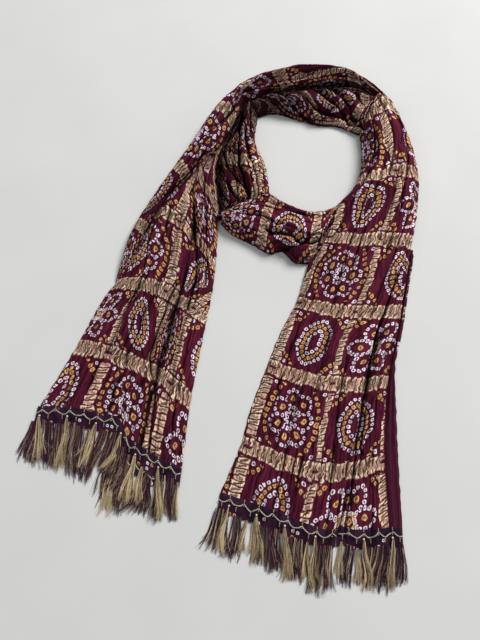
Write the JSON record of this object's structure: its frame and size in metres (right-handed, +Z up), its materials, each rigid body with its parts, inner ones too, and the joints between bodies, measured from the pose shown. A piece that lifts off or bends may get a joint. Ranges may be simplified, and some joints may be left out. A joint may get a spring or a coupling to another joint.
{
  "type": "dupatta stole",
  "caption": "Crinkled tie-dot and gold-check dupatta stole, wound once round into a neck loop and laid flat, with tasselled lace at both hems.",
  "frame": {"origin": "centre of the bounding box at the surface that the stole lies on", "axes": "+X to the right, +Y from the hems to the top of the neck loop, +Z up"},
  "size_m": [0.4987, 0.6905, 0.0368],
  "materials": {
    "cloth": "crinkled silk-cotton in plum maroon with tie-dyed white and yellow dots and a woven-gold check, soft sheen along the folds",
    "cloth_back": "plain plum maroon crinkled cloth, matt",
    "lace": "dark aubergine lace band with a gold thread wave, and silky tassels in khaki gold and plum"
  },
  "bodies": {
    "root": {"left_tail": "cloth", "left_tail_under": "lace", "top_outer": "cloth", "bottom_crossing": "cloth", "inner_left": "cloth", "top_inner": "cloth", "right_tail": "cloth", "right_tail_under": "cloth_back", "left_lace": "lace", "right_lace_inner": "lace", "right_lace_outer": "lace"}
  },
  "joints": []
}
